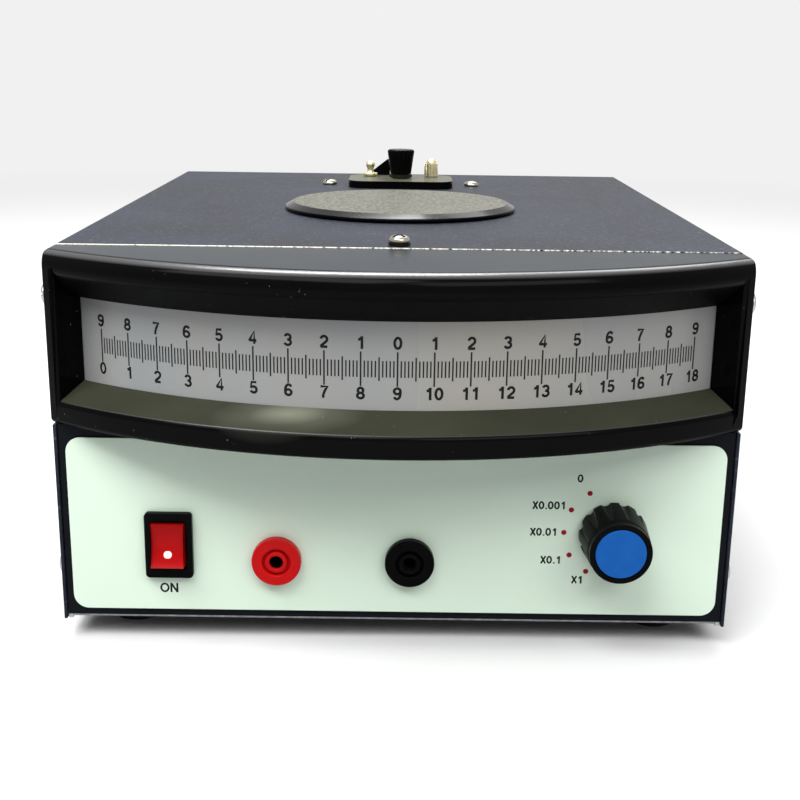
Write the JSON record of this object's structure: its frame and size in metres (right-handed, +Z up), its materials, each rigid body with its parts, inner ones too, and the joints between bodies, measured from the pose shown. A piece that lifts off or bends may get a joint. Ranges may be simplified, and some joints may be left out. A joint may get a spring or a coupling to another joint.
{
  "type": "spot reflecting galvanometer",
  "caption": "Bench spot reflecting galvanometer: black metal case with a curved lit scale in a gloss hood, range selector, rocker switch, 4 mm sockets and a torsion head on top.",
  "frame": {"origin": "on the surface that the feet stand on, under the middle of the whole object", "axes": "+Z up, +X to the right seen from the front, +Y from the scale and front panel towards the rear panel"},
  "size_m": [0.2044, 0.286, 0.1343],
  "materials": {
    "cover_paint": "fine textured satin paint",
    "chassis_paint": "satin paint",
    "hood_plastic": "polished moulding",
    "black_plastic": "satin moulding",
    "foot_rubber": "moulded rubber",
    "label_paint": "screen printed, satin",
    "scale_white": "translucent, polished front",
    "red_plastic": "moulded",
    "blue_plastic": "fine grain",
    "lid_paint": "fine texture",
    "screw_chrome": "bright plate",
    "screw_zinc": "zinc plate",
    "turned_brass": "turned",
    "soft_iron": "ground and oiled",
    "phenolic": "paper laminate",
    "wire_enamel": "enamelled copper wire",
    "lamp_glass": "clear",
    "mirror_silver": "front silvered"
  },
  "bodies": {
    "case": {"chassis": "chassis_paint", "top_cover": "cover_paint", "scale_hood": "hood_plastic", "scale_screen": "scale_white", "front_label": "label_paint", "foot_front_left": "foot_rubber", "foot_front_right": "foot_rubber", "foot_rear_left": "foot_rubber", "foot_rear_right": "foot_rubber", "port_lid": "lid_paint", "head_plate": "black_plastic", "post_stud": "turned_brass", "switch_housing": "black_plastic", "red_socket": "red_plastic", "red_socket_tube": "turned_brass", "red_socket_nut": "turned_brass", "black_socket": "black_plastic", "black_socket_tube": "turned_brass", "black_socket_nut": "turned_brass", "selector_body": "screw_zinc", "selector_nut": "screw_zinc", "selector_wafer": "phenolic", "shunt_board": "phenolic", "mains_inlet": "black_plastic", "fuse_holder": "black_plastic", "transformer_core": "soft_iron", "transformer_winding": "wire_enamel", "lamp_cradle": "screw_zinc", "movement_frame": "screw_zinc", "magnet": "soft_iron", "pole_shoe_left": "soft_iron", "pole_shoe_right": "soft_iron", "iron_core": "soft_iron", "cover_washer": "screw_zinc", "cover_screw": "screw_chrome", "head_screw_left": "screw_chrome", "head_screw_right": "screw_chrome", "hood_screw_left": "screw_zinc", "hood_screw_right": "screw_zinc", "side_screw_front_left": "screw_zinc", "side_screw_front_right": "screw_zinc", "side_screw_rear_left": "screw_zinc", "side_screw_rear_right": "screw_zinc"},
    "rocker": {"rocker_button": "red_plastic"},
    "selector": {"selector_shaft": "screw_zinc", "selector_knob": "black_plastic", "selector_cap": "blue_plastic"},
    "zero_head": {"torsion_spindle": "turned_brass", "zero_knob": "black_plastic"},
    "coil": {"moving_coil": "wire_enamel", "coil_mirror": "mirror_silver", "upper_strip": "turned_brass", "lower_strip": "turned_brass"},
    "clamp_screw": {"post_nut": "turned_brass"},
    "lamp": {"lamp_tube": "chassis_paint", "lamp_holder": "phenolic", "lamp_bulb": "lamp_glass", "hair_plate": "screw_zinc", "condenser_lens": "lamp_glass"},
    "fuse": {"fuse_cap": "black_plastic"}
  },
  "joints": [
    {"name": "rocker_tilt", "type": "hinge", "parent": "case", "child": "rocker", "pos_m": [-0.0672, -0.11015, 0.0319], "axis": [1, 0, 0], "range_deg": [0, 14]},
    {"name": "selector_turn", "type": "hinge", "parent": "case", "child": "selector", "pos_m": [0.0643, -0.112, 0.037], "axis": [0, -1, 0], "range_deg": [-120, 30]},
    {"name": "zero_knob_turn", "type": "hinge", "parent": "case", "child": "zero_head", "pos_m": [0, 0.08015, 0.12], "axis": [0, 0, 1], "range_deg": [-20, 20]},
    {"name": "coil_swing", "type": "hinge", "parent": "zero_head", "child": "coil", "pos_m": [0, 0.08015, 0.05], "axis": [0, 0, 1], "range_deg": [-12, 12], "stiffness_Nm_per_rad": 0.0001},
    {"name": "clamp_screw_turn", "type": "hinge", "parent": "case", "child": "clamp_screw", "pos_m": [0.0131, 0.08815, 0.12], "axis": [0, 0, 1], "range_deg": [0, 180]},
    {"name": "lamp_tilt", "type": "hinge", "parent": "case", "child": "lamp", "pos_m": [0, -0.00495, 0.03907], "axis": [1, 0, 0], "range_deg": [-3, 3]},
    {"name": "fuse_cap_turn", "type": "hinge", "parent": "case", "child": "fuse", "pos_m": [0.046, 0.135, 0.031], "axis": [0, 1, 0], "range_deg": [0, 90]}
  ]
}
